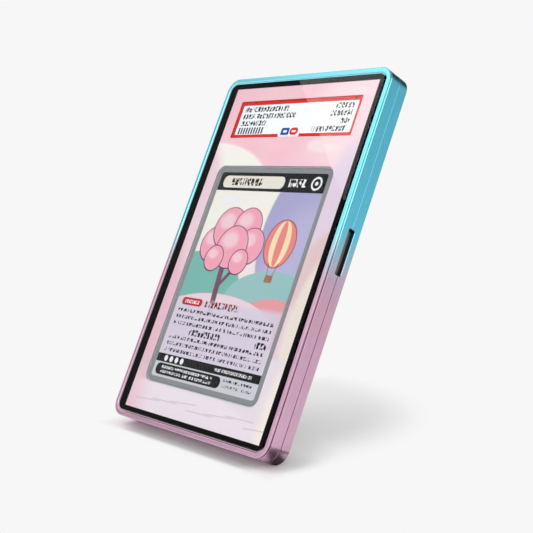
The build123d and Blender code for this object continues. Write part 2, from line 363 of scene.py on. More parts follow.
class MaterialRecipe(Recipe):
    """The recipe of a material.

    Attributes:
        material: The material.
        shader: Its Principled BSDF.
    """

    def __init__(self, name: str) -> None:
        """Starts a material.

        Args:
            name: Its name.
        """
        self.material = bpy.data.materials.new(name)
        self.material.use_nodes = True
        super().__init__(self.material.node_tree)
        self.shader = self.tree.nodes["Principled BSDF"]

    def shade(self, inputs: dict) -> None:
        """Feeds inputs of the Principled BSDF, by name."""
        self.fill(self.shader, inputs)

    def show(self, surface: Socket) -> None:
        """Shows a shader that is more than the Principled BSDF."""
        self.fill(self.tree.nodes["Material Output"], {"Surface": surface})


class Effect(ABC):
    """A shader node group that finishes share.

    Attributes:
        name: Its name.
        vectors: The names of its vector inputs, with spaces between them.
        floats: The names of its other inputs, with spaces between them.
    """

    name: str
    vectors: str
    floats: str

    def build(self) -> bpy.types.NodeTree:
        """Builds the group.

        Returns:
            The group.
        """
        tree = bpy.data.node_groups.new(self.name, "ShaderNodeTree")
        kinds = {label: "NodeSocketVector" for label in self.vectors.split()}
        kinds.update({label: "NodeSocketFloat" for label in self.floats.split()})
        for label, kind in kinds.items():
            tree.interface.new_socket(name=label, in_out="INPUT", socket_type=kind)
        recipe = Recipe(tree)
        taken = tree.nodes.new("NodeGroupInput")
        results = self.draw(recipe, {label: taken.outputs[label] for label in kinds})
        for label in results:
            tree.interface.new_socket(name=label, in_out="OUTPUT", socket_type="NodeSocketFloat")
        recipe.fill(tree.nodes.new("NodeGroupOutput"), results)
        return tree

    @abstractmethod
    def draw(self, recipe: Recipe, taken: Sockets) -> Sockets:
        """Writes the group's nodes.

        Args:
            recipe: The group's recipe.
            taken: Its inputs, by name.

        Returns:
            Its outputs, by name.
        """


class DiscMask(Effect):
    """A soft-edged disc or oval in the plane of the case."""

    name = "Disc Mask"
    vectors = "Place Centre Half"
    floats = "Soft"

    def draw(self, recipe: Recipe, taken: Sockets) -> Sockets:
        """Writes the mask from the distance to the centre.

        Args:
            recipe: The group's recipe.
            taken: Its inputs, by name.

        Returns:
            Its outputs, by name.
        """
        away = recipe.vector("SUBTRACT", taken["Place"], taken["Centre"])
        flat = recipe.vector("MULTIPLY", away, FLAT)
        reach = recipe.vector("LENGTH", recipe.vector("DIVIDE", flat, taken["Half"]))
        inner = recipe.math("SUBTRACT", 1.0, taken["Soft"])
        outer = recipe.math("ADD", 1.0, taken["Soft"])
        return {"Mask": recipe.span(reach, outer, inner)}


class PanelMask(Effect):
    """A rectangle with rounded corners in the plane of the case."""

    name = "Panel Mask"
    vectors = "Place Centre Half"
    floats = "Corner Soft"

    def draw(self, recipe: Recipe, taken: Sockets) -> Sockets:
        """Writes the mask from the distance to the outline.

        Args:
            recipe: The group's recipe.
            taken: Its inputs, by name.

        Returns:
            Its outputs, by name.
        """
        away = recipe.vector("ABSOLUTE", recipe.vector("SUBTRACT", taken["Place"], taken["Centre"]))
        corner = recipe.join(taken["Corner"], taken["Corner"])
        past = recipe.vector("SUBTRACT", away, recipe.vector("SUBTRACT", taken["Half"], corner))
        flat = recipe.vector("MULTIPLY", past, FLAT)
        outside = recipe.vector("LENGTH", recipe.vector("MAXIMUM", flat, BLACK))
        across, along, _ = recipe.split(flat)
        inside = recipe.math("MINIMUM", recipe.most(across, along), 0.0)
        gap = recipe.math("SUBTRACT", recipe.math("ADD", outside, inside), taken["Corner"])
        return {"Mask": recipe.span(gap, taken["Soft"], recipe.times(taken["Soft"], -1.0))}


class RowMask(Effect):
    """Rows of small broken marks, like print that is too small to read.

    Attributes:
        row_shift: How far the gaps between words move from row to row.
        word_level: The noise above which there is a word.
        strokes: How fine the strokes are, across and up, for a row of height 1.
        stroke_levels: The noise over which a stroke begins.
        letters: How many letters there are in the height of a row.
        letter_share: The share of a letter's width that is inked.
        solid_break: The break of rows above which they are solid.
    """

    name = "Row Mask"
    vectors = "Place Centre Half"
    floats = "Pitch Fill Break"
    row_shift: float = 7.3
    word_level: float = 0.4
    strokes: tuple[float, float, float] = (2.7, 1.9, 0.0)
    stroke_levels: Span = (0.42, 0.47)
    letters: float = 1.3
    letter_share: float = 0.8
    solid_break: float = 50.0

    def draw(self, recipe: Recipe, taken: Sockets) -> Sockets:
        """Writes the mask from the rows, the gaps between words and the strokes in them.

        Args:
            recipe: The group's recipe.
            taken: Its inputs, by name.

        Returns:
            Its outputs, by name.
        """
        away = recipe.vector("SUBTRACT", taken["Place"], taken["Centre"])
        across, along, _ = recipe.split(away)
        wide, high, _ = recipe.split(taken["Half"])
        count = recipe.math("DIVIDE", recipe.math("SUBTRACT", high, along), taken["Pitch"])
        within = recipe.times(
            recipe.math("LESS_THAN", recipe.math("ABSOLUTE", across), wide),
            recipe.math("LESS_THAN", recipe.math("ABSOLUTE", along), high),
            recipe.math("LESS_THAN", recipe.math("FRACT", count), taken["Fill"]),
        )
        shift = recipe.times(recipe.math("FLOOR", count), self.row_shift)
        word = recipe.join(recipe.math("DIVIDE", across, taken["Break"]), shift)
        words = recipe.math("GREATER_THAN", recipe.noise(word, 1.0, 1.0), self.word_level)
        fine = recipe.vector("DIVIDE", away, recipe.evenly(taken["Pitch"]))
        spread = recipe.vector("ADD", recipe.vector("MULTIPLY", fine, self.strokes), taken["Centre"])
        strokes = recipe.span(recipe.noise(spread, 1.0, 0.0), *self.stroke_levels)
        beat = recipe.math("FRACT", recipe.times(recipe.split(fine)[0], self.letters))
        letters = recipe.times(words, recipe.math("LESS_THAN", beat, self.letter_share), strokes)
        solid = recipe.math("GREATER_THAN", taken["Break"], self.solid_break)
        return {"Mask": recipe.times(within, recipe.most(letters, solid))}


class FineGrain(Effect):
    """The fine all-over grain of a moulded or blasted surface.

    Attributes:
        smear_scale: The scale of the change in roughness.
        smear_levels: The noise over which the roughness goes from its least to its most.
    """

    name = "Fine Grain"
    vectors = "Place"
    floats = "Size Rough Vary"
    smear_scale: float = 0.09
    smear_levels: Span = (0.35, 0.7)

    def draw(self, recipe: Recipe, taken: Sockets) -> Sockets:
        """Writes the grain's height and the roughness that wanders with it.

        Args:
            recipe: The group's recipe.
            taken: Its inputs, by name.

        Returns:
            Its outputs, by name.
        """
        fine = recipe.vector("DIVIDE", taken["Place"], recipe.evenly(taken["Size"]))
        smear = recipe.noise(taken["Place"], self.smear_scale, FINE_DETAIL)
        change = recipe.times(recipe.span(smear, *self.smear_levels, -1.0, 1.0), taken["Vary"])
        return {
            "Height": recipe.noise(fine, 1.0, FINE_DETAIL),
            "Roughness": recipe.math("ADD", taken["Rough"], change),
        }


class BrushedLines(Effect):
    """The fine lines of brushed metal, which run along the sides of the case.

    Attributes:
        strength: How strong the finer layers of the lines are.
    """

    name = "Brushed Lines"
    vectors = "Place"
    floats = "Side Long Fine"
    strength: float = 0.6

    def draw(self, recipe: Recipe, taken: Sockets) -> Sockets:
        """Writes the lines of the long sides and of the ends, and picks by side.

        Args:
            recipe: The group's recipe.
            taken: Its inputs, by name.

        Returns:
            Its outputs, by name.
        """
        across, along, out = recipe.split(taken["Place"])
        deep = recipe.times(out, taken["Fine"])
        upright = recipe.join(
            recipe.times(across, taken["Fine"]), recipe.math("DIVIDE", along, taken["Long"]), deep
        )
        level = recipe.join(
            recipe.math("DIVIDE", across, taken["Long"]), recipe.times(along, taken["Fine"]), deep
        )
        choice = recipe.add("Mix", data_type="FLOAT")
        recipe.feed(choice.inputs[0], taken["Side"])
        recipe.feed(choice.inputs[2], recipe.noise(level, 1.0, FINE_DETAIL, self.strength))
        recipe.feed(choice.inputs[3], recipe.noise(upright, 1.0, FINE_DETAIL, self.strength))
        return {"Lines": choice.outputs[0]}


class CaseRecipe(MaterialRecipe):
    """The recipe of a material on the case, with the places on it and the shared effects.

    Attributes:
        plane: The plane of the case.
        trees: The effects built so far.
    """

    def __init__(self, name: str, plane: CasePlane, trees: dict[type[Effect], bpy.types.NodeTree]) -> None:
        """Starts a material.

        Args:
            name: Its name.
            plane: The plane of the case.
            trees: The effects built so far.
        """
        super().__init__(name)
        self.plane = plane
        self.trees = trees

    @cached_property
    def place(self) -> Socket:
        """The place on the case in millimetres: across, up and out of its front."""
        coordinates = self.add("TexCoord").outputs["Object"]
        return self.within(coordinates, (self.plane.turn, 0.0, 0.0), self.plane.middle, grey(MM))

    @cached_property
    def facing(self) -> Socket:
        """The way that the surface faces, in the directions of the case."""
        normal = self.add("NewGeometry").outputs["Normal"]
        return self.within(normal, (self.plane.turn, 0.0, 0.0))

    def effect(self, kind: type[Effect], inputs: dict) -> bpy.types.Node:
        """Places an effect, which is built when it is first asked for.

        Args:
            kind: Its class.
            inputs: Values or outputs for its inputs, by name.

        Returns:
            The group's node.
        """
        if kind not in self.trees:
            self.trees[kind] = kind().build()
        return self.fill(self.add("Group", node_tree=self.trees[kind]), inputs)


class Finish(ABC):
    """The look of a piece.

    Attributes:
        name: The material's name.
    """

    name: str

    @abstractmethod
    def paint(self, recipe: CaseRecipe) -> None:
        """Writes the material.

        Args:
            recipe: Its recipe.
        """


@dataclass
class Workshop:
    """Makes the materials and gives them to the pieces.

    Attributes:
        plane: The plane of the case.
        trees: The effects built so far.
        made: The materials made so far, by finish.
    """

    plane: CasePlane
    trees: dict[type[Effect], bpy.types.NodeTree] = field(default_factory=dict)
    made: dict[Finish, bpy.types.Material] = field(default_factory=dict)

    def dress(self, finishes: dict[str, Finish]) -> None:
        """Gives CAD nodes their finishes, each of which is made once.

        Args:
            finishes: The finishes, by node.
        """
        for node, finish in finishes.items():
            if finish not in self.made:
                recipe = CaseRecipe(finish.name, self.plane, self.trees)
                finish.paint(recipe)
                self.made[finish] = recipe.material
            for slot in frame["nodes"][node].material_slots:
                slot.material = self.made[finish]
            log.info("%s dressed in %s", node, finish.name)


@dataclass(frozen=True)
class AnodisedFinish(Finish):
    """Brushed aluminium anodised from one colour into another up the case, with painted highlights, painted
    light and painted shade laid into its colour.

    Lengths are in millimetres, and places are measured from the middle of the pane. Spans of
    facing are over how far the surface faces out, right or inwards, 0 to 1.

    Attributes:
        name: The material's name.
        stops: The colours by height, made paler low on the case as painted light.
        wander: How far the colours move up and down by chance.
        wander_scale: The scale of that chance.
        half: Half the case's width and height.
        corner: The radius of its corners.
        opening: Half the width and height of the wall round the pane.
        high: The heights over which the painted highlight on the rim comes up.
        front_highlight_tint: What that painted highlight does to the colour of the flat front.
        front_out: The facing over which the flat front takes it.
        rounded_highlight_tint: What the painted highlight does to the colour of the rounded edge on the
            right.
        rounded_right: The facing over which that edge takes it, to the right.
        rounded_out: The same, out of the front.
        rounded_depth: Where the rounded edge starts, out of the front.
        lip_facing: The facing over which the wall round the pane is told from the rest.
        lip_depth: Where that wall starts and fully shows, out of the front.
        lip_white: How much whiter than the metal the painted light on that wall is.
        painted_lip_strength: How strongly the painted light, an emission, brightens the wall, low and high
            on the case.
        lip_height: The heights between which that changes.
        roughness: Its roughness at the sides and at the front.
        roughness_out: The facing over which that changes.
        line_length: How long the brushed lines are.
        line_fineness: How many lines there are to a millimetre.
        line_depth: How deep they are.
        line_strength: The strength of their bump.
        line_turn: How far the change from one side's lines to the next reaches at a corner.
        line_levels: The lines' heights over which they change the roughness.
        line_shade: How dark and how light they make the colour.
        line_gloss: How much they take from the roughness, and add.
        groove: The middle of the side groove, out of the front.
        groove_reach: How far from it painted shade is full and has faded.
        groove_walls: How far in from the outside the groove starts and ends.
        seam: The seam of the two halves, out of the front.
        seam_reach: How far from it painted shade is full and has faded.
        line_dark: The painted shade in groove and seam, low and high on the case.
        line_height: The heights between which that changes.
        slot: The slot's middle up the case, half its length and half its width.
        slot_shade: The painted shade in its throat.
        slot_wall: Where that shade is full and has faded, across the case.
        crevice_shade_colour: The colour of the deepest painted shade.
        outline_soft: The softness of the outlines that part the groove from the rest.
    """

    name: str = "anodised_metal"
    # The lowest stops are paler than the metal's own pink: painted light that brightens the foot of the
    # case.
    stops: tuple[tuple[float, Colour], ...] = (
        (-62.0, srgb(232, 187, 213)),
        (-40.0, srgb(219, 175, 201)),
        (-14.0, srgb(208, 166, 188)),
        (-8.0, srgb(198, 170, 192)),
        (-3.0, srgb(176, 182, 203)),
        (3.0, srgb(138, 190, 208)),
        (10.0, srgb(104, 194, 220)),
        (22.0, srgb(96, 187, 211)),
        (62.0, srgb(90, 176, 198)),
    )
    wander: float = 1.5
    wander_scale: float = 0.05
    half: tuple[float, float] = (44.1, 71.35)
    corner: float = 5.46
    opening: tuple[float, float] = (42.4, 69.65)
    high: Span = (-4.0, 9.0)
    front_highlight_tint: Colour = (1.45, 1.15, 1.0)
    front_out: Span = (0.7, 0.95)
    rounded_highlight_tint: Colour = (2.3, 1.75, 1.35)
    rounded_right: Span = (0.15, 0.4)
    rounded_out: Span = (0.1, 0.35)
    rounded_depth: Span = (-1.6, -1.0)
    lip_facing: Span = (0.4, 0.7)
    lip_depth: Span = (-0.6, -0.1)
    lip_white: float = 0.14
    painted_lip_strength: Span = (0.5, 1.0)
    lip_height: Span = (-10.0, 10.0)
    roughness: Span = (0.25, 0.34)
    roughness_out: Span = (0.5, 0.95)
    line_length: float = 9.0
    line_fineness: float = 3.2
    line_depth: float = 0.004
    line_strength: float = 0.35
    line_turn: Span = (-0.6, 0.6)
    line_levels: Span = (0.25, 0.75)
    line_shade: Span = (0.94, 1.05)
    line_gloss: Span = (-0.04, 0.05)
    groove: float = 0.28
    groove_reach: Span = (0.2, 0.34)
    groove_walls: Span = (0.06, 1.4)
    seam: float = -4.775
    seam_reach: Span = (0.07, 0.12)
    line_dark: Span = (0.92, 0.35)
    line_height: Span = (-6.0, 22.0)
    slot: tuple[float, float, float] = (3.55, 8.5, 1.62)
    slot_shade: float = 0.8
    slot_wall: Span = (43.6, 43.95)
    crevice_shade_colour: Colour = (0.004, 0.003, 0.004)
    outline_soft: float = 0.05

    def paint(self, recipe: CaseRecipe) -> None:
        """Writes the material.

        Args:
            recipe: Its recipe.
        """
        colour = self.anodised(recipe)
        lines = self.lines(recipe)
        shade = recipe.span(lines, *NOISE_SPAN, *self.line_shade)
        # Painted highlight: the rim is made paler high on the case.
        toned = self.painted_rim_highlight(recipe, recipe.tint(colour, recipe.evenly(shade)))
        out = recipe.math("ABSOLUTE", recipe.split(recipe.facing)[2])
        rough = recipe.math(
            "ADD",
            recipe.span(out, *self.roughness_out, *self.roughness),
            recipe.span(lines, *self.line_levels, *self.line_gloss),
        )
        recipe.shade(
            {
                # Painted shade darkens the groove, the seam and the slot's throat.
                "Base Color": recipe.mix(self.painted_crevice_shade(recipe), toned, self.crevice_shade_colour),
                "Roughness": rough,
                "Normal": recipe.bump(lines, self.line_strength, self.line_depth),
                "Metallic": 1.0,
                # The emission is painted light on the wall round the pane.
                "Emission Color": self.painted_lip_light(recipe, colour),
                "Emission Strength": 1.0,
            }
        )

    def anodised(self, recipe: CaseRecipe) -> Socket:
        """The colour by height.

        Args:
            recipe: The material's recipe.

        Returns:
            The colour.
        """
        chance = recipe.noise(recipe.place, self.wander_scale)
        drift = recipe.span(chance, *NOISE_SPAN, -self.wander, self.wander)
        height = recipe.math("ADD", recipe.split(recipe.place)[1], drift)
        start, end = self.stops[0][0], self.stops[-1][0]
        stops = tuple(((level - start) / (end - start), tone) for level, tone in self.stops)
        return recipe.ramp(recipe.share(height, start, end), stops)

    def lines(self, recipe: CaseRecipe) -> Socket:
        """The brushed lines, which turn the corner with the side that they run along.

        Args:
            recipe: The material's recipe.

        Returns:
            The height of the lines, 0 to 1.
        """
        across, up, _ = recipe.split(recipe.vector("ABSOLUTE", recipe.place))
        to_side = recipe.math("SUBTRACT", across, self.half[0])
        to_end = recipe.math("SUBTRACT", up, self.half[1])
        side = recipe.span(recipe.math("SUBTRACT", to_side, to_end), *self.line_turn)
        inputs = {"Side": side, "Long": self.line_length, "Fine": self.line_fineness}
        return recipe.effect(BrushedLines, {"Place": recipe.place, **inputs}).outputs["Lines"]

    def painted_rim_highlight(self, recipe: CaseRecipe, colour: Socket) -> Socket:
        """The colour with a painted highlight on the rim high on the case, on its flat front and its rounded
        right edge.

        Args:
            recipe: The material's recipe.
            colour: The colour without that painted highlight.

        Returns:
            The colour.
        """
        _, up, depth = recipe.split(recipe.place)
        right, _, out = recipe.split(recipe.facing)
        high = recipe.span(up, *self.high)
        flat = recipe.times(recipe.span(out, *self.front_out), high)
        rounded = recipe.times(
            recipe.span(right, *self.rounded_right),
            recipe.span(out, *self.rounded_out),
            recipe.span(depth, *self.rounded_depth),
            recipe.math("SUBTRACT", high, flat, clamp=True),
        )
        front = recipe.mix(flat, colour, recipe.tint(colour, self.front_highlight_tint))
        return recipe.mix(rounded, front, recipe.tint(front, self.rounded_highlight_tint))

    def painted_lip_light(self, recipe: CaseRecipe, colour: Socket) -> Socket:
        """Painted light on the wall round the pane: an emission on the metal that stands in for light in the
        pane's edge.

        Args:
            recipe: The material's recipe.
            colour: The metal's colour.

        Returns:
            The painted light's colour.
        """
        _, up, depth = recipe.split(recipe.place)
        half_width, half_height = self.opening
        # The last divisor takes the depth out of the product
        from_wall = recipe.vector("DIVIDE", recipe.place, (-half_width, -half_height, 1e6))
        inward = recipe.vector("DOT_PRODUCT", recipe.facing, from_wall)
        strength = recipe.times(
            recipe.span(inward, *self.lip_facing),
            recipe.span(depth, *self.lip_depth),
            recipe.span(up, *self.lip_height, *self.painted_lip_strength),
        )
        return recipe.tint(recipe.mix(self.lip_white, colour, WHITE), recipe.evenly(strength))

    def outline(self, recipe: CaseRecipe, inset: float) -> Socket:
        """The area within the case's outline.

        Args:
            recipe: The material's recipe.
            inset: How far in from the outline its edge lies.

        Returns:
            The mask, 0 to 1.
        """
        inputs = {
            "Place": recipe.place,
            "Half": (self.half[0] - inset, self.half[1] - inset, 1.0),
            "Corner": self.corner - inset,
            "Soft": self.outline_soft,
        }
        return recipe.effect(PanelMask, inputs).outputs["Mask"]

    def painted_crevice_shade(self, recipe: CaseRecipe) -> Socket:
        """Painted shade where little light reaches: the side groove, the seam of the two halves and the
        slot.

        Args:
            recipe: The material's recipe.

        Returns:
            The mask, 0 to 1.
        """
        across, up, out = recipe.split(recipe.place)
        outer, inner = (self.outline(recipe, inset) for inset in self.groove_walls)
        groove = recipe.times(
            recipe.math("SUBTRACT", outer, inner, clamp=True),
            recipe.span(recipe.off(out, self.groove), *reversed(self.groove_reach)),
        )
        from_seam = recipe.off(out, self.seam)
        seam = recipe.span(from_seam, *reversed(self.seam_reach))
        dark = recipe.span(up, *self.line_height, *self.line_dark)
        lines = recipe.times(recipe.most(groove, seam), dark)
        middle, half_length, half_width = self.slot
        throat = recipe.times(
            recipe.math("LESS_THAN", recipe.off(up, middle), half_length),
            recipe.math("LESS_THAN", from_seam, half_width),
            recipe.math("GREATER_THAN", across, 0.0),
            recipe.span(across, *reversed(self.slot_wall), 0.0, self.slot_shade),
        )
        return recipe.most(lines, throat)


@dataclass(frozen=True)
class GrainedFinish(Finish):
    """Plastic, rubber, foam or metal of one colour with a fine grain.

    Attributes:
        name: The material's name.
        colour: Its colour.
        roughness: Its mean roughness.
        grain_size: The size of the grain, in millimetres.
        grain_depth: The depth of the grain, in millimetres.
        metallic: 1 for bare metal.
        shade: How much the grain darkens the colour.
        specular: The shader's specular level.
        vary: How much its roughness wanders.
        grain_strength: The strength of the grain's bump.
    """

    name: str
    colour: Colour
    roughness: float = 0.5
    grain_size: float = 0.35
    grain_depth: float = 0.02
    metallic: float = 0.0
    shade: float = 0.12
    specular: float = 0.5
    vary: float = 0.05
    grain_strength: float = 0.6

    def paint(self, recipe: CaseRecipe) -> None:
        """Writes the material.

        Args:
            recipe: Its recipe.
        """
        inputs = {"Size": self.grain_size, "Rough": self.roughness, "Vary": self.vary}
        grain = recipe.effect(FineGrain, {"Place": recipe.place, **inputs})
        height = grain.outputs["Height"]
        dark = tuple(part * (1 - self.shade) for part in self.colour)
        light = tuple(part * (1 + self.shade) for part in self.colour)
        grained = recipe.mix(recipe.span(height, *NOISE_SPAN), dark, light)
        recipe.shade(
            {
                "Base Color": self.tone(recipe, grained),
                "Roughness": grain.outputs["Roughness"],
                "Normal": recipe.bump(height, self.grain_strength, self.grain_depth),
                "Metallic": self.metallic,
                "Specular IOR Level": self.specular,
            }
        )

    def tone(self, recipe: CaseRecipe, colour: Socket) -> Socket:
        """The grained colour, which a finish of one colour leaves as it is."""
        return colour


@dataclass(frozen=True)
class TrayFinish(GrainedFinish):
    """The tray's black plastic, with painted light where the slot bares its wall.

    Attributes:
        lit: The colour of that painted light.
        middle: The slot's middle, up the case.
        reach: How far from it the painted light is full and has faded.
        depth: Where the painted light fades out and is full, out of the front.
        outside: How far across the wall's outside starts.
    """

    lit: Colour = srgb(128, 122, 116)
    middle: float = 3.55
    reach: Span = (7.2, 8.0)
    depth: Span = (-6.25, -5.35)
    outside: float = 40.9

    def tone(self, recipe: CaseRecipe, colour: Socket) -> Socket:
        """The grained colour, with painted light behind the slot.

        Args:
            recipe: The material's recipe.
            colour: The grained colour.

        Returns:
            The colour.
        """
        across, up, out = recipe.split(recipe.place)
        # Painted light: the tray's wall behind the slot is made paler.
        share = recipe.times(
            recipe.span(recipe.off(up, self.middle), *reversed(self.reach)),
            recipe.span(out, *self.depth),
            recipe.math("GREATER_THAN", across, self.outside),
        )
        return recipe.mix(share, colour, self.lit)


@dataclass(frozen=True)
class ClearFinish(Finish):
    """Clear or frosted plastic that lets the lamps through.

    Attributes:
        name: The material's name.
        tint: Its colour.
        roughness: 0 where it is polished.
        ior: Its index of refraction.
        sheen: How much it mirrors where it is seen straight on, as a share of bare plastic's.
        smear_scale: The scale of the smears on it.
        smear_levels: The noise over which a smear comes in.
        smear: The roughness of a smear.
        edge_out: How far out an edge faces where it starts to mirror and fully does.
        edge_down: How far down it faces there.
        edge_roughness: How rough its mirroring is.
    """

    name: str
    tint: Colour = (0.985, 0.99, 0.995)
    roughness: float = 0.0
    ior: float = 1.49
    sheen: float = 0.1
    smear_scale: float = 0.06
    smear_levels: Span = (0.45, 0.8)
    smear: float = 0.02
    edge_out: Span = (0.3, 0.5)
    edge_down: Span = (0.2, 0.5)
    edge_roughness: float = 0.15

    def paint(self, recipe: CaseRecipe) -> None:
        """Writes the material.

        Args:
            recipe: Its recipe.
        """
        chance = recipe.noise(recipe.place, self.smear_scale, FINE_DETAIL)
        smear = recipe.span(chance, *self.smear_levels, 0.0, self.smear)
        _, up, out = recipe.split(recipe.facing)
        down = recipe.times(up, -1.0)
        edge = recipe.times(recipe.span(out, *self.edge_out), recipe.span(down, *self.edge_down))
        recipe.shade(
            {
                "Base Color": self.tint,
                "Roughness": recipe.math("ADD", smear, self.roughness),
                "Transmission Weight": 1.0,
                "IOR": self.ior,
                "Specular Tint": recipe.evenly(recipe.most(edge, self.sheen)),
                "Coat Weight": edge,
                "Coat Roughness": self.edge_roughness,
                # The emission is painted light on the plastic's edges.
                "Emission Color": self.painted_glow(recipe),
                "Emission Strength": 1.0,
            }
        )
        window = recipe.add("BsdfTransparent", {"Color": self.tint}).outputs[0]
        clear = recipe.blend(recipe.rays("Shadow", "Diffuse"), recipe.shader.outputs[0], window)
        # Mirror rays inside the plastic end on black: painted shade that takes the light out of reflections
        # within it.
        path = recipe.add("LightPath").outputs
        inside = recipe.add("NewGeometry").outputs["Backfacing"]
        inner_reflection_blackout = recipe.times(path["Is Glossy Ray"], path["Is Reflection Ray"], inside)
        dark = recipe.add("BsdfDiffuse", {"Color": BLACK}).outputs[0]
        recipe.show(recipe.blend(inner_reflection_blackout, clear, dark))

    def painted_glow(self, recipe: CaseRecipe) -> Place:
        """The painted light on the plastic's edges, which is none on most pieces."""
        return BLACK


@dataclass(frozen=True)
class PaneFinish(ClearFinish):
    """The front pane, whose polished chamfer has painted light at the head and in a line along the foot.

    Attributes:
        head: The painted light on the chamfer at the head.
        foot: The painted light line on the chamfer at the foot.
        chamfer: How far out the chamfer faces: where it starts, is full, is still full and ends.
        line: Where the painted light line starts, is full, is still full and ends, out of the front.
        slope: How far up or down the chamfer faces where its painted light starts and is full.
    """

    head: Colour = (0.2, 0.66, 0.7)
    foot: Colour = (0.42, 0.41, 0.42)
    chamfer: tuple[float, float, float, float] = (0.3, 0.5, 0.85, 0.95)
    line: tuple[float, float, float, float] = (0.5, 0.58, 0.72, 0.8)
    slope: Span = (0.4, 0.6)

    def painted_glow(self, recipe: CaseRecipe) -> Place:
        """The painted light on the chamfer, an emission.

        Args:
            recipe: The material's recipe.

        Returns:
            The painted light's colour.
        """
        depth = recipe.split(recipe.place)[2]
        _, upward, out = recipe.split(recipe.facing)
        downward = recipe.times(upward, -1.0)
        chamfer = recipe.band(out, *self.chamfer)
        below = recipe.times(chamfer, recipe.span(downward, *self.slope), recipe.band(depth, *self.line))
        above = recipe.times(chamfer, recipe.span(upward, *self.slope))
        return recipe.mix(above, recipe.mix(below, BLACK, self.foot), self.head)


class PatchKind(Enum):
    """The kinds of patch that a print is laid out with."""

    DISC = "disc"
    PANEL = "panel"
    FRAME = "frame"
    ROWS = "rows"
    WASH = "wash"


@dataclass(frozen=True)
class Patch:
    """One patch of a print, in millimetres from the middle of the print.

    Attributes:
        kind: Its kind.
        colour: Its colour.
        centre: Its centre, across and up.
        half: Half its width and height, or a wash's size.
        corner: A panel's corner radius, or the pitch of rows.
        soft: The softness of its edge, or the fill of rows.
        strength: How strongly it covers, or the break of rows.
        turn: Its turn in degrees, anticlockwise.
    """

    kind: PatchKind
    colour: Colour
    centre: tuple[float, float] = (0.0, 0.0)
    half: tuple[float, float] = (1.0, 1.0)
    corner: float = 0.5
    soft: float = 0.08
    strength: float = 1.0
    turn: float = 0.0


# Short calls for the patches that the prints are laid out with
disc = partial(Patch, PatchKind.DISC)
panel = partial(Patch, PatchKind.PANEL)
rows = partial(Patch, PatchKind.ROWS)
border = partial(Patch, PatchKind.FRAME, soft=0.08)


@dataclass(frozen=True)
class PrintFinish(Finish):
    """A printed surface: a ground with patches laid over it in order.

    Attributes:
        name: The material's name.
        ground: The colours of the ground, from the foot of the print to its head.
        reach: The heights of that foot and head.
        patches: The patches, lowest first.
        roughness: The roughness of its varnish.
        middle: The middle of the print on the case.
        painted_glow: How much painted light the print gives of its own, which brightens it.
        fibre_size: The size of the fibres under the print.
        fibre_depth: Their depth.
        fibre_strength: The strength of their bump.
        vary: How much the roughness wanders.
        wash_strength: How strong the finer layers of a wash are.
    """

    name: str
    ground: tuple[tuple[float, Colour], ...]
    reach: Span
    patches: tuple[Patch, ...]
    roughness: float = 0.45
    middle: tuple[float, float] = (0.0, 0.0)
    painted_glow: float = 0.0
    fibre_size: float = 0.5
    fibre_depth: float = 0.004
    fibre_strength: float = 0.2
    vary: float = 0.04
    wash_strength: float = 0.55

    def mask(self, recipe: CaseRecipe, place: Socket, patch: Patch) -> Socket:
        """The mask of one patch.

        Args:
            recipe: The material's recipe.
            place: The place on the print in millimetres.
            patch: The patch.

        Returns:
            The mask, 0 to 1.
        """
        centre, half = (*patch.centre, 0.0), (*patch.half, 1.0)
        if patch.turn:
            place = recipe.within(place, (0.0, 0.0, math.radians(patch.turn)), centre)
            centre = ORIGIN
        if patch.kind is PatchKind.WASH:
            size = recipe.vector("DIVIDE", recipe.vector("ADD", place, centre), half)
            cloud = recipe.noise(size, 1.0, FINE_DETAIL, self.wash_strength)
            return recipe.span(cloud, 0.5 - patch.soft, 0.5 + patch.soft, 0.0, patch.strength)
        inputs = {"Place": place, "Centre": centre, "Half": half}
        if patch.kind is PatchKind.ROWS:
            inputs.update({"Pitch": patch.corner, "Fill": patch.soft, "Break": patch.strength})
            return recipe.effect(RowMask, inputs).outputs["Mask"]
        inputs["Soft"] = patch.soft
        if patch.kind is PatchKind.DISC:
            mask = recipe.effect(DiscMask, inputs).outputs["Mask"]
        else:
            mask = recipe.effect(PanelMask, {**inputs, "Corner": patch.corner}).outputs["Mask"]
        if patch.kind is PatchKind.FRAME:
            return recipe.math("SUBTRACT", 1.0, mask)
        return recipe.times(mask, patch.strength) if patch.strength < 1.0 else mask

    def paint(self, recipe: CaseRecipe) -> None:
        """Writes the material.

        Args:
            recipe: Its recipe.
        """
        place = recipe.vector("SUBTRACT", recipe.place, (*self.middle, 0.0))
        colour = recipe.ramp(recipe.share(recipe.split(place)[1], *self.reach), self.ground)
        for patch in self.patches:
            colour = recipe.mix(self.mask(recipe, place, patch), colour, patch.colour)
        inputs = {"Size": self.fibre_size, "Rough": self.roughness, "Vary": self.vary}
        fibre = recipe.effect(FineGrain, {"Place": place, **inputs}).outputs
        recipe.shade(
            {
                "Base Color": colour,
                "Roughness": fibre["Roughness"],
                "Normal": recipe.bump(fibre["Height"], self.fibre_strength, self.fibre_depth),
                "Specular IOR Level": 0.0,
                "Emission Color": colour,
                "Emission Strength": self.painted_glow,
            }
        )


def nickel(name: str) -> GrainedFinish:
    """The bright plating of the magnets."""
    return GrainedFinish(name, srgb(205, 203, 198), 0.22, 0.2, 0.003, metallic=1.0)


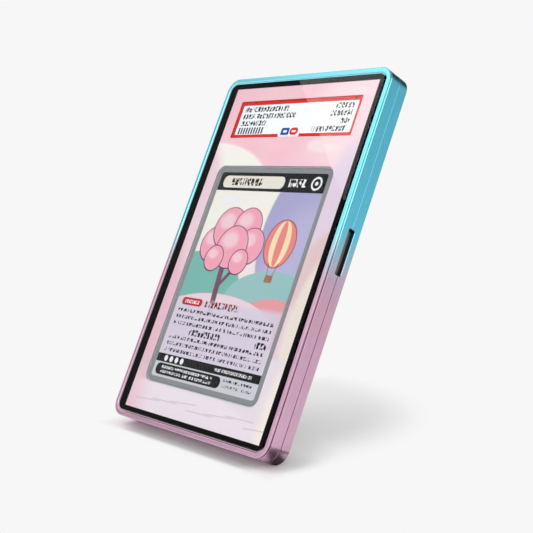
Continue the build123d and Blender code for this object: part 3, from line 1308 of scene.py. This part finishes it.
@dataclass
class Cover:
    """The lift-off cover: metal frame, clear pane, printed films, tape, liner and magnets.

    Attributes:
        shop: Where its materials are made.
        metal: The finish of its frame.
        border_colour: The colour of the printed border.
    """

    shop: Workshop
    metal: AnodisedFinish
    border_colour: Colour = srgb(14, 11, 12)

    def surround(self) -> PrintFinish:
        """The printed surround: a pastel evening with clouds over low hills.

        Returns:
            The print's finish.
        """
        cream, cloud = srgb(252, 247, 236), srgb(254, 230, 233)
        ripple = srgb(204, 188, 208)
        patches = [
            Patch(PatchKind.WASH, srgb(244, 188, 200), (3, 5), (24, 12), soft=0.2, strength=0.4),
            disc(srgb(254, 228, 232), (46, 56), (34, 30), soft=0.3, strength=0.8),
            disc(cloud, (22, 40.5), (8, 1.7), soft=0.3),
            disc(cloud, (17, 42.0), (4.0, 1.8), soft=0.3),
            disc(cloud, (31, 63), (7, 1.4), soft=0.3, strength=0.8),
            disc(cream, (-42, 17), (44, 26.5), soft=0.03),
            disc(srgb(240, 211, 218), (-50, -6), (26, 52), soft=0.1),
            disc(srgb(236, 192, 205), (-52, -34), (22, 40), soft=0.15),
            disc(srgb(226, 212, 230), (37, 14), (9, 28), soft=0.25, strength=0.8),
            disc(srgb(230, 198, 194), (42, -8), (12, 18), soft=0.1, strength=0.8),
            disc(srgb(240, 230, 216), (43, -26), (10, 26), soft=0.15, strength=0.9),
            disc(srgb(226, 196, 206), (-30, -74), (46, 28), soft=0.03),
            disc(srgb(234, 224, 232), (28, -72), (54, 34), soft=0.03),
            disc(srgb(240, 229, 236), (-12, -90), (74, 36), soft=0.03),
            disc(srgb(240, 202, 212), (-46, -66), (16, 16), soft=0.4, strength=0.9),
            disc(srgb(252, 240, 228), (41, -58), (6, 18), soft=0.5, strength=0.9),
        ]
        for step in range(7):
            middle = (-27 + 10.5 * step, -62.5 + (step % 3))
            patches.append(panel(ripple, middle, (7.5, 0.16), 0.1, 0.12, 0.8, turn=4 - 3 * (step % 2)))
        ground = (
            (0.0, srgb(232, 216, 226)),
            (0.25, srgb(234, 212, 224)),
            (0.6, srgb(246, 214, 221)),
            (0.8, srgb(254, 207, 216)),
            (1.0, srgb(249, 202, 210)),
        )
        return PrintFinish("art_ink", ground, (-66.9, 66.9), tuple(patches), roughness=0.4)

    def dress(self) -> None:
        """Dresses every piece of the cover."""
        ink = GrainedFinish("border_ink", self.border_colour, 0.3, 0.6, 0.002, shade=0.05, specular=0.0)
        self.shop.dress(
            {
                "front_frame": self.metal,
                "front_pane": PaneFinish("clear_acrylic"),
                "border_print": ink,
                "art_print": self.surround(),
                # The tape is black where it shows in the gap round the pane, which also stands in for the
                # shade in that gap.
                "pane_tape": GrainedFinish("adhesive_tape", srgb(24, 24, 25), 0.6, 0.5, 0.01, specular=0.2),
                "front_liner": GrainedFinish("liner_plastic", srgb(34, 34, 36), 0.5),
                "cover_magnets": nickel("magnet_nickel"),
            }
        )


@dataclass
class Holder:
    """The sealed clear holder with its card and label.

    Attributes:
        shop: Where its materials are made.
        card_middle: The middle of the card, across and up.
        label_middle: The middle of the label.
        blossoms: The clumps of blossom on the card, each with its place and size.
    """

    shop: Workshop
    card_middle: tuple[float, float] = (-0.85, -11.3)
    label_middle: tuple[float, float] = (0.0, 53.3)
    blossoms: tuple[tuple[float, float, float], ...] = (
        (-20, 12, 7.4),
        (-14, 19, 8.6),
        (-4, 20, 7.8),
        (1.0, 12.5, 7.4),
        (-9, 11.5, 8.8),
        (-17, 6.5, 5.4),
        (-2.5, 6.0, 5.2),
    )

    def card(self) -> PrintFinish:
        """The card's print: a blossom tree and a balloon over hills, in a plain card layout.

        Returns:
            The print's finish.
        """
        dark, silver, paper = srgb(16, 14, 18), srgb(144, 148, 148), srgb(250, 248, 250)
        plum, pink, blush = srgb(96, 50, 106), srgb(254, 170, 188), srgb(255, 216, 224)
        coral, straw = srgb(246, 140, 134), srgb(255, 232, 186)
        patches = [
            disc(srgb(178, 172, 212), (31, 20), (26, 34), soft=0.02),
            disc(srgb(198, 192, 224), (31, 8), (20, 22), soft=0.3, strength=0.7),
            disc(paper, (-20, 29.5), (5.0, 1.5), soft=0.08),
            disc(paper, (-16.5, 30.6), (3.0, 1.9), soft=0.08),
            disc(srgb(126, 190, 176), (-22, -4), (24, 13), soft=0.02),
            disc(srgb(158, 200, 198), (20, -8), (24, 12), soft=0.02),
            disc(srgb(240, 162, 166), (24, -15), (17, 9), soft=0.02),
            disc(srgb(246, 218, 226), (-6, -20), (34, 13), soft=0.02),
            panel(srgb(122, 78, 104), (-9.5, -5), (1.4, 11), 0.8, 0.1, turn=6),
            panel(srgb(122, 78, 104), (-5.8, 0.4), (0.8, 5), 0.6, 0.1, turn=-38),
            disc(srgb(146, 74, 84), (16.5, 14.5), (7.9, 9.4), soft=0.02),
            disc(coral, (16.5, 14.5), (7.5, 9.0), soft=0.02),
            disc(straw, (16.5, 14.5), (4.7, 8.9), soft=0.03),
            disc(coral, (16.5, 14.5), (1.9, 8.9), soft=0.05),
            panel(srgb(146, 74, 84), (14.6, 4.4), (0.15, 2.6), 0.1, 0.08, turn=14),
            panel(srgb(146, 74, 84), (18.4, 4.4), (0.15, 2.6), 0.1, 0.08, turn=-14),
            panel(srgb(170, 116, 92), (16.5, 1.0), (2.0, 1.4), 0.5, 0.1),
        ]
        for across, up, size in self.blossoms:
            lit = (across - size * 0.22, up + size * 0.32)
            patches += [
                disc(plum, (across, up), (size, size), soft=0.015),
                disc(pink, (across, up + 0.1), (size - 0.4, size - 0.4), soft=0.02),
                disc(blush, lit, (size * 0.5, size * 0.36), soft=0.4, strength=0.9),
            ]
        patches += [
            panel(srgb(222, 212, 228), (0, -23.5), (29.5, 13.0), 0.5, 1.2, 0.88),
            panel(srgb(198, 30, 36), (-20.4, -11.6), (6.0, 1.5), 1.4, 0.1),
            rows(paper, (-20.4, -11.6), (4.2, 0.7), 1.4, 1.0, 1.3),
            rows(srgb(140, 26, 34), (-3, -11.6), (9.5, 1.3), 2.6, 1.0, 1.4),
            rows(srgb(52, 46, 58), (0, -17.8), (27, 3.2), 2.55, 0.5, 1.3),
            rows(srgb(20, 18, 24), (-7, -23.2), (9, 1.2), 2.4, 1.0, 1.4),
            rows(srgb(20, 18, 24), (24, -23.2), (3, 1.2), 2.4, 1.0, 1.4),
            rows(srgb(52, 46, 58), (0, -28.9), (27, 3.5), 2.55, 0.5, 1.3),
            panel(srgb(214, 212, 218), (0, -38.6), (29.5, 3.5), 0.2, 0.1),
            panel(dark, (0, -34.6), (29.5, 1.6), 0.2, 0.1),
            rows(paper, (15, -34.6), (10, 0.6), 1.2, 1.0, 1.2),
            rows(dark, (19, -38.9), (8, 1.7), 2.0, 0.45, 1.2),
            panel(dark, (-9, -38.9), (19, 2.2), 2.0, 0.1),
            rows(paper, (-10, -38.9), (15, 1.4), 1.75, 0.6, 1.3),
            panel(dark, (0, 38.3), (29.5, 3.9), 0.2, 0.1),
            panel(srgb(244, 236, 222), (-9.5, 38.1), (17.5, 2.5), 2.2, 0.1),
            rows(dark, (-13, 38.1), (9, 1.5), 3.0, 1.0, 1.8),
            rows(paper, (15.0, 38.1), (4.5, 1.6), 3.2, 1.0, 2.2),
            disc(paper, (24.8, 38.1), (2.7, 2.7), soft=0.05),
            disc(dark, (24.8, 38.1), (1.9, 1.9), soft=0.06),
            disc(paper, (24.8, 38.1), (0.8, 0.8), soft=0.1),
        ]
        for step in range(4):
            patches.append(disc(paper, (-24 + 3.2 * step, -34.6), (1.0, 1.15), soft=0.1))
        patches.append(border(silver, half=(29.5, 42.0), corner=1.2))
        ground = (
            (0.0, srgb(246, 220, 232)),
            (0.5, srgb(253, 234, 230)),
            (0.75, srgb(255, 250, 238)),
            (1.0, srgb(254, 247, 232)),
        )
        return PrintFinish("card_print", ground, (-44, 44), tuple(patches), 0.4, self.card_middle)

    def label(self) -> PrintFinish:
        """The label's print: a red border round rows too small to read.

        Returns:
            The print's finish.
        """
        ink, red, blue = srgb(8, 8, 12), srgb(228, 24, 14), srgb(16, 70, 150)
        white = srgb(254, 255, 255)
        patches = [rows(srgb(14, 20, 60), (-22.5, -4.7), (1.4, 7.4), 1.5, 0.55, 90.0, turn=90)]
        for start, up, length in ((-29.8, 4.5, 25), (-29.8, 1.5, 30), (-29.8, -1.5, 14.5)):
            middle = (start + length / 2, up)
            patches.append(rows(ink, middle, (length / 2, 1.1), 2.2, 1.0, 1.45))
        for end, up, length in ((29.6, 4.6, 9), (29.6, 1.5, 11), (29.6, -1.6, 5), (29.6, -4.7, 18)):
            middle = (end - length / 2, up)
            patches.append(rows(ink, middle, (length / 2, 1.1), 2.2, 1.0, 1.35))
        patches += [
            border(red, half=(31.5, 6.35), corner=0.4),
            panel(white, (0, -5.5), (5.8, 2.2), 0.8, 0.08),
            panel(blue, (-2.4, -5.4), (2.2, 1.5), 0.5, 0.08),
            panel(white, (-2.4, -5.4), (1.0, 0.5), 0.3, 0.08),
            panel(red, (2.4, -5.4), (2.2, 1.5), 1.4, 0.08),
            panel(white, (2.4, -5.4), (1.1, 0.4), 0.3, 0.08),
        ]
        ground = ((0.0, white), (1.0, white))
        # The label gives painted light of its own, which brightens its white.
        return PrintFinish("label_print", ground, (-8, 8), tuple(patches), 0.5, self.label_middle, painted_glow=0.1)

    def dress(self) -> None:
        """Dresses every piece of the holder."""
        clear = ClearFinish("clear_shell")
        frosted = GrainedFinish("frosted_gasket", srgb(206, 208, 212), 0.45, 0.3, 0.01, shade=0.04)
        self.shop.dress(
            {
                "slab_front_shell": clear,
                "slab_rear_shell": clear,
                "card_gasket": frosted,
                "card": self.card(),
                "label": self.label(),
            }
        )


@dataclass
class BackCase:
    """The back half: metal frame, moulded tray, foam, magnets and the stand's bracket.

    Attributes:
        shop: Where its materials are made.
        metal: The finish of its frame.
    """

    shop: Workshop
    metal: AnodisedFinish

    def dress(self) -> None:
        """Dresses every piece of the back half."""
        steel = GrainedFinish("zinc_steel", srgb(190, 192, 196), 0.3, 0.25, 0.004, metallic=1.0)
        self.shop.dress(
            {
                "rear_frame": self.metal,
                "rear_tray": TrayFinish("tray_plastic", srgb(36, 36, 38), 0.55, 0.45, 0.03),
                "tray_tape": GrainedFinish("tray_adhesive", srgb(70, 70, 72), 0.6, 0.5, 0.01),
                "foam_pad": GrainedFinish("black_foam", srgb(40, 40, 42), 0.9, 0.5, 0.12, shade=0.3),
                "case_magnets": nickel("case_nickel"),
                "stand_bracket": steel,
                "bracket_screws": steel,
                "hinge_pin": steel,
            }
        )


@dataclass
class Stand:
    """The fold-out stand: leg, rubber foot and friction washers.

    Attributes:
        shop: Where its materials are made.
    """

    shop: Workshop

    def dress(self) -> None:
        """Dresses every piece of the stand."""
        self.shop.dress(
            {
                "stand_leg": GrainedFinish("black_leg", srgb(46, 46, 49), 0.38, 0.25, 0.01, metallic=0.6),
                "foot_pad": GrainedFinish("foot_rubber", srgb(38, 38, 38), 0.8, 0.4, 0.04, shade=0.2),
                "friction_washers": GrainedFinish("nylon_washer", srgb(226, 223, 214), 0.45),
            }
        )


@dataclass(frozen=True)
class Viewpoint:
    """The camera, at the photograph's place and angle.

    Attributes:
        place: Where it stands, in metres.
        aim: Where it looks.
        focal_px: Its focal length in pixels of the photograph.
        picture_px: The photograph's width in pixels.
        sensor_mm: The width of its sensor.
        clip_start: The nearest that it sees, in metres.
    """

    place: tuple[float, float, float] = (0.2899, -0.25264, 0.10138)
    aim: tuple[float, float, float] = (0.00544, 0.00076, 0.06188)
    focal_px: float = 1045.0
    picture_px: float = 533.0
    sensor_mm: float = 36.0
    clip_start: float = 0.01

    def build(self) -> None:
        """Sets the camera up."""
        data = bpy.data.cameras.new("camera")
        data.sensor_width = self.sensor_mm
        data.lens = self.sensor_mm * self.focal_px / self.picture_px
        data.clip_start = self.clip_start
        camera = bpy.data.objects.new("camera", data)
        bpy.context.collection.objects.link(camera)
        camera.location = self.place
        look = Vector(self.aim) - Vector(self.place)
        camera.rotation_euler = look.to_track_quat("-Z", "Y").to_euler()
        bpy.context.scene.camera = camera


@dataclass(frozen=True)
class Floor:
    """The pale floor, which fades into the backdrop outside the object's shade; the shade is partly painted,
    with painted light that shapes and fills it, a painted shadow under the foot and a painted dark ring for
    mirrors.

    Places are in millimetres across and back from the middle of the object's foot. A span gives
    where a change starts and ends, and four numbers where a mask starts, is full, is still full
    and ends.

    Attributes:
        backdrop: The colour that it fades into.
        half: Half its width, in metres.
        parts: How many parts each side of its mesh has.
        paper: How pale the paper is.
        roughness: The roughness of the paper.
        start: The corner that the shade's reach is measured from, to the right and to the back.
        near: Where the shade starts to fade: its reach in front and behind.
        near_turn: The depths between which that changes.
        reach: Where it has faded.
        left: Where it fades on the left.
        front: Where it fades in front.
        fill: How much painted light of the backdrop's colour fills the shade, in front and behind.
        fill_turn: The depths between which that changes.
        far: The distance over which the floor turns into the backdrop for mirrors too.
        painted_shadow_depth: How deep the painted shadow under the foot is.
        painted_shadow_width: How wide it is.
        painted_foot_shadow: How pale the paper is in it.
        corner: The middle of a painted dark ring in the paper, seen only by mirror rays, which the rim's
            lower right corner reflects.
        ring: Its distance from that middle.
        ring_right: How far right it starts.
        ring_front: How far in front it starts.
        mirrored: How pale the paper is in that painted ring.
    """

    backdrop: Colour = BACKDROP
    half: float = 12.0
    parts: int = 8
    paper: float = 0.93
    roughness: float = 0.9
    start: tuple[float, float] = (-38.0, 10.0)
    near: Span = (82.0, 60.0)
    near_turn: Span = (-22.0, 10.0)
    reach: float = 91.0
    left: Span = (-42.0, -53.0)
    front: Span = (-35.0, -39.5)
    fill: Span = (0.1, 0.42)
    fill_turn: Span = (-28.0, -8.0)
    far: Span = (300.0, 700.0)
    painted_shadow_depth: tuple[float, float, float, float] = (-39.0, -35.0, -33.0, -29.0)
    painted_shadow_width: tuple[float, float, float, float] = (-40.0, -28.0, 30.0, 42.0)
    painted_foot_shadow: float = 0.56
    corner: tuple[float, float, float] = (46.0, -18.5, 0.0)
    ring: tuple[float, float, float, float] = (3.5, 7.0, 10.0, 14.0)
    ring_right: Span = (32.0, 38.0)
    ring_front: Span = (-11.0, -17.0)
    mirrored: float = 0.1

    def build(self) -> None:
        """Lays the floor."""
        mesh = bpy.data.meshes.new("floor")
        shape = bmesh.new()
        bmesh.ops.create_grid(shape, x_segments=self.parts, y_segments=self.parts, size=self.half)
        shape.to_mesh(mesh)
        shape.free()
        floor = bpy.data.objects.new("floor", mesh)
        bpy.context.collection.objects.link(floor)
        mesh.materials.append(self.material())
        log.info("floor laid")

    def material(self) -> bpy.types.Material:
        """Makes the floor's material.

        Returns:
            The material.
        """
        recipe = MaterialRecipe("floor_paper")
        place = recipe.vector("DIVIDE", recipe.add("TexCoord").outputs["Object"], grey(MM))
        across, back, _ = recipe.split(place)
        # Painted shadow: the paper is darkened in a band under the front of the foot.
        painted_foot_shadow = recipe.times(recipe.band(back, *self.painted_shadow_depth), recipe.band(across, *self.painted_shadow_width))
        shaded = recipe.mix(painted_foot_shadow, grey(self.paper), grey(self.painted_foot_shadow))
        # Painted shade: a dark ring in the paper that only mirror rays see, for the rim's lower right corner
        # to reflect.
        ring = recipe.times(
            recipe.rays("Glossy"),
            recipe.band(recipe.vector("LENGTH", recipe.vector("SUBTRACT", place, self.corner)), *self.ring),
            recipe.span(across, *self.ring_right),
            recipe.span(back, *self.ring_front),
        )
        base = recipe.mix(ring, shaded, grey(self.mirrored))
        recipe.shade({"Base Color": base, "Roughness": self.roughness, "Specular IOR Level": 0.0})
        # Painted light of the backdrop's colour shapes the shade and fills part of it for the camera.
        seen = recipe.times(self.painted_shade_fade(recipe, across, back), recipe.rays("Camera", "Transmission"))
        far = recipe.most(seen, recipe.span(recipe.vector("LENGTH", place), *self.far))
        painted_glow = recipe.add("Emission", {"Color": self.backdrop, "Strength": 1.0})
        recipe.show(recipe.blend(far, recipe.shader.outputs[0], painted_glow.outputs[0]))
        return recipe.material

    def painted_shade_fade(self, recipe: Recipe, across: Socket, back: Socket) -> Number:
        """How far the paper is covered by painted light of the backdrop's colour where the camera sees it:
        outside a shaped area it hides the rendered shadow, and inside it fills part of it.

        Args:
            recipe: The material's recipe.
            across: The place to the right.
            back: The place to the back.

        Returns:
            The mask, 0 to 1.
        """
        right = recipe.most(recipe.math("SUBTRACT", across, self.start[0]), 0.0)
        behind = recipe.most(recipe.math("SUBTRACT", back, self.start[1]), 0.0)
        near = recipe.span(back, *self.near_turn, *self.near)
        clear = recipe.most(
            recipe.span(recipe.vector("LENGTH", recipe.join(right, behind)), near, self.reach),
            recipe.span(across, *self.left),
            recipe.span(back, *self.front),
        )
        low = recipe.span(back, *self.fill_turn, *self.fill)
        return recipe.math("ADD", low, recipe.times(clear, recipe.math("SUBTRACT", 1.0, low)))


@dataclass(frozen=True)
class RoomPatch:
    """A part of the room that is lighter or darker than the rest, round one direction.

    Attributes:
        towards: The direction from the object.
        inner: The angle within which its level holds, in degrees.
        outer: The angle by which it has faded into the room, in degrees.
        level: Its level.
    """

    towards: tuple[float, float, float]
    inner: float
    outer: float
    level: float


@dataclass(frozen=True)
class Room:
    """The room round the object: even, with lighter and darker parts for metal and pane to show.

    Attributes:
        backdrop: What the camera sees of it.
        level: Its level.
        behind: The directions to the back over which the backdrop's level comes in.
        low: The directions upwards over which it does.
        patches: The lighter and darker parts.
    """

    backdrop: Colour = BACKDROP
    level: float = 0.57
    behind: Span = (-0.05, 0.3)
    low: Span = (0.35, 0.2)
    patches: tuple[RoomPatch, ...] = (
        RoomPatch((-0.755, -0.50, 0.41), 12.0, 20.0, 0.3),
        RoomPatch((-0.05, 0.92, 0.40), 13.0, 22.0, 0.05),
        RoomPatch((0.64, -0.44, 0.64), 12.0, 22.0, 2.4),
        RoomPatch((-0.60, 0.78, 0.17), 9.0, 15.0, 0.02),
    )

    def build(self) -> None:
        """Makes the room."""
        world = bpy.data.worlds.new("studio_room")
        bpy.context.scene.world = world
        world.use_nodes = True
        recipe = Recipe(world.node_tree)
        direction = recipe.add("TexCoord").outputs["Generated"]
        _, back, up = recipe.split(direction)
        screen = recipe.times(recipe.span(back, *self.behind), recipe.span(up, *self.low))
        colour = recipe.mix(screen, grey(self.level), self.backdrop)
        for patch in self.patches:
            near = recipe.vector("DOT_PRODUCT", direction, tuple(Vector(patch.towards).normalized()))
            start, full = (math.cos(math.radians(angle)) for angle in (patch.outer, patch.inner))
            colour = recipe.mix(recipe.span(near, start, full), colour, grey(patch.level))
        seen = recipe.mix(recipe.rays("Camera", "Transmission"), colour, self.backdrop)
        recipe.fill(world.node_tree.nodes["Background"], {"Color": seen})


@dataclass(frozen=True)
class Softbox:
    """The softbox, whose lower edge shows as the straight edge of the glare on the pane.

    Attributes:
        edge_high: The upper end of that edge, in metres.
        edge_low: Its lower end.
        inward: The way from the edge across the softbox.
        size: Its width and height.
        level: How bright it is.
    """

    edge_high: tuple[float, float, float] = (-2.3166, -1.2011, 1.9704)
    edge_low: tuple[float, float, float] = (-2.1824, -1.5644, 1.7723)
    inward: tuple[float, float, float] = (0.664, -0.152, 0.733)
    size: float = 2.8
    level: float = 2.3

    def build(self) -> None:
        """Hangs the softbox, which faces the object."""
        high, low = Vector(self.edge_high), Vector(self.edge_low)
        inward = Vector(self.inward).normalized()
        centre = (high + low) / 2 + inward * self.size / 2
        out = (low - high).normalized().cross(inward).normalized()
        if out.dot(centre) < 0:
            out = -out
        light = bpy.data.lights.new("softbox", "AREA")
        light.shape = "SQUARE"
        light.size = self.size
        light.energy = self.level * self.size * self.size * math.pi
        lamp = bpy.data.objects.new("softbox", light)
        bpy.context.collection.objects.link(lamp)
        turn = Matrix((inward, out.cross(inward), out)).transposed()
        lamp.matrix_world = Matrix.Translation(centre) @ turn.to_4x4()


def main() -> None:
    """Builds the studio and dresses the case."""
    logging.basicConfig(level=logging.INFO, format="%(message)s")
    for part in (Viewpoint(), Floor(), Room(), Softbox()):
        part.build()
    bpy.context.scene.view_settings.view_transform = "Standard"
    shop = Workshop(CasePlane.of_frame())
    metal = AnodisedFinish()
    Cover(shop, metal).dress()
    Holder(shop).dress()
    BackCase(shop, metal).dress()
    Stand(shop).dress()


if __name__ == "__main__":
    main()
